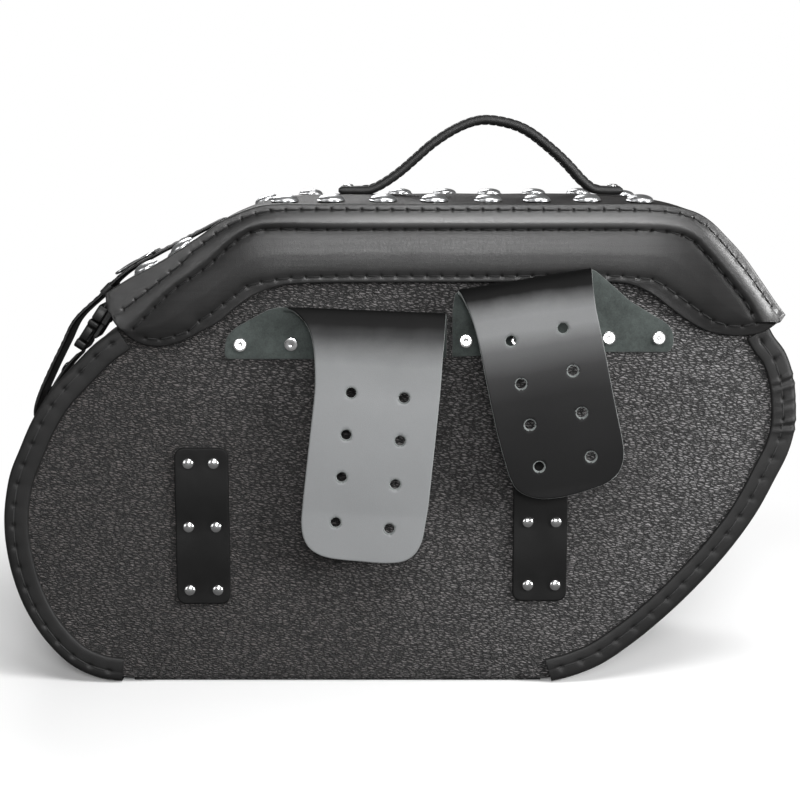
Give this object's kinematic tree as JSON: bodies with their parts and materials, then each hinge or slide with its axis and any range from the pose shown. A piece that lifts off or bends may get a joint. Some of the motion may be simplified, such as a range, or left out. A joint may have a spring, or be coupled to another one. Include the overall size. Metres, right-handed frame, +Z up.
{
  "type": "motorcycle saddlebag",
  "caption": "Hard-shelled leather motorcycle saddlebag with hinged studded lid, carrying handle, two punched mounting straps and a clip-and-strap end closure.",
  "frame": {"origin": "on the flat bottom face, at mid length and mid depth", "axes": "+X along the bag towards its right end as seen from the bike side, +Y from the bike-side panel towards the outer panel, +Z up"},
  "size_m": [0.5162, 0.2046, 0.3687],
  "materials": {
    "pebbled_shell": "pebble-grained leatherette, satin",
    "smooth_leather": "smooth finished leather, semi-gloss",
    "lid_leather": "smooth finished leather, satin",
    "flesh_side_leather": "rough flesh side, matt",
    "strap_leather_grey": "smooth finished leather, satin",
    "strap_leather_dark": "smooth finished leather, satin",
    "chrome": "polished",
    "black_plastic": "moulded, satin",
    "webbing": "woven webbing",
    "board": "raw stiffener board"
  },
  "bodies": {
    "root": {"back_binding_left": "smooth_leather", "back_binding_right": "smooth_leather", "back_panel": "pebbled_shell", "base_rivet_left_1": "chrome", "base_rivet_left_2": "chrome", "base_rivet_left_3": "chrome", "base_rivet_left_4": "chrome", "base_rivet_right_1": "chrome", "base_rivet_right_2": "chrome", "base_rivet_right_3": "chrome", "base_rivet_right_4": "chrome", "bottom_panel": "pebbled_shell", "clip_socket": "black_plastic", "clip_tab": "smooth_leather", "front_binding_left": "smooth_leather", "front_binding_right": "smooth_leather", "front_panel": "pebbled_shell", "gusset_left": "pebbled_shell", "gusset_right": "pebbled_shell", "loop_plate_left": "smooth_leather", "loop_plate_right": "smooth_leather", "plate_rivet_left_1": "chrome", "plate_rivet_left_2": "chrome", "plate_rivet_left_3": "chrome", "plate_rivet_left_4": "chrome", "plate_rivet_left_5": "chrome", "plate_rivet_left_6": "chrome", "plate_rivet_right_1": "chrome", "plate_rivet_right_2": "chrome", "plate_rivet_right_3": "chrome", "plate_rivet_right_4": "chrome", "plate_rivet_right_5": "chrome", "plate_rivet_right_6": "chrome", "rear_skirt": "smooth_leather", "skirt_stiffener": "board", "strap_base_left": "flesh_side_leather", "strap_base_right": "flesh_side_leather", "tab_rivet_1": "chrome", "tab_rivet_2": "chrome"},
    "lid": {"lid_panel": "lid_leather", "lid_edge_strip": "smooth_leather", "front_flap": "smooth_leather", "lid_studs_rear": "chrome", "lid_studs_front": "chrome", "handle_end_left": "smooth_leather", "handle_end_right": "smooth_leather", "clip_plug": "black_plastic", "clip_webbing": "webbing", "front_strap_left": "smooth_leather", "front_strap_right": "smooth_leather", "front_buckle_left": "chrome", "front_buckle_right": "chrome"},
    "handle": {"handle": "smooth_leather"},
    "closure_strap": {"closure_strap": "smooth_leather", "closure_buckle": "chrome", "closure_prong": "chrome"},
    "mount_strap_left": {"mount_strap_left": "strap_leather_grey"},
    "mount_strap_right": {"mount_strap_right": "strap_leather_dark"},
    "clip_arm_front": {"clip_arm_front": "black_plastic"},
    "clip_arm_rear": {"clip_arm_rear": "black_plastic"}
  },
  "joints": [
    {"name": "lid_hinge", "type": "hinge", "parent": "root", "child": "lid", "pos_m": [0, -0.0898, 0.2934], "axis": [1, 0, 0], "range_deg": [0, 90]},
    {"name": "handle_flex", "type": "hinge", "parent": "lid", "child": "handle", "pos_m": [0.057, 0, 0.318], "axis": [1, 0, 0], "range_deg": [-25, 25], "stiffness_Nm_per_rad": 0.5},
    {"name": "closure_swing", "type": "hinge", "parent": "lid", "child": "closure_strap", "pos_m": [-0.118, 0, 0.3013], "axis": [0, 1, 0], "range_deg": [0, 70], "stiffness_Nm_per_rad": 0.05},
    {"name": "mount_strap_left_fold", "type": "hinge", "parent": "root", "child": "mount_strap_left", "pos_m": [-0.0244, -0.09335, 0.2449], "axis": [0.9991, 0, -0.0417], "range_deg": [-125, 0]},
    {"name": "mount_strap_right_fold", "type": "hinge", "parent": "root", "child": "mount_strap_right", "pos_m": [0.077, -0.09535, 0.2643], "axis": [0.9866, 0, 0.163], "range_deg": [-125, 0]},
    {"name": "clip_arm_front_press", "type": "slide", "parent": "root", "child": "clip_arm_front", "axis": [0, -1, 0], "range_m": [0, 0.0025], "stiffness_N_per_m": 400},
    {"name": "clip_arm_rear_press", "type": "slide", "parent": "root", "child": "clip_arm_rear", "axis": [0, 1, 0], "range_m": [0, 0.0025], "stiffness_N_per_m": 400}
  ],
  "couplings": [
    {"joint": "clip_arm_rear_press", "follows": "clip_arm_front_press", "ratio": 1}
  ]
}
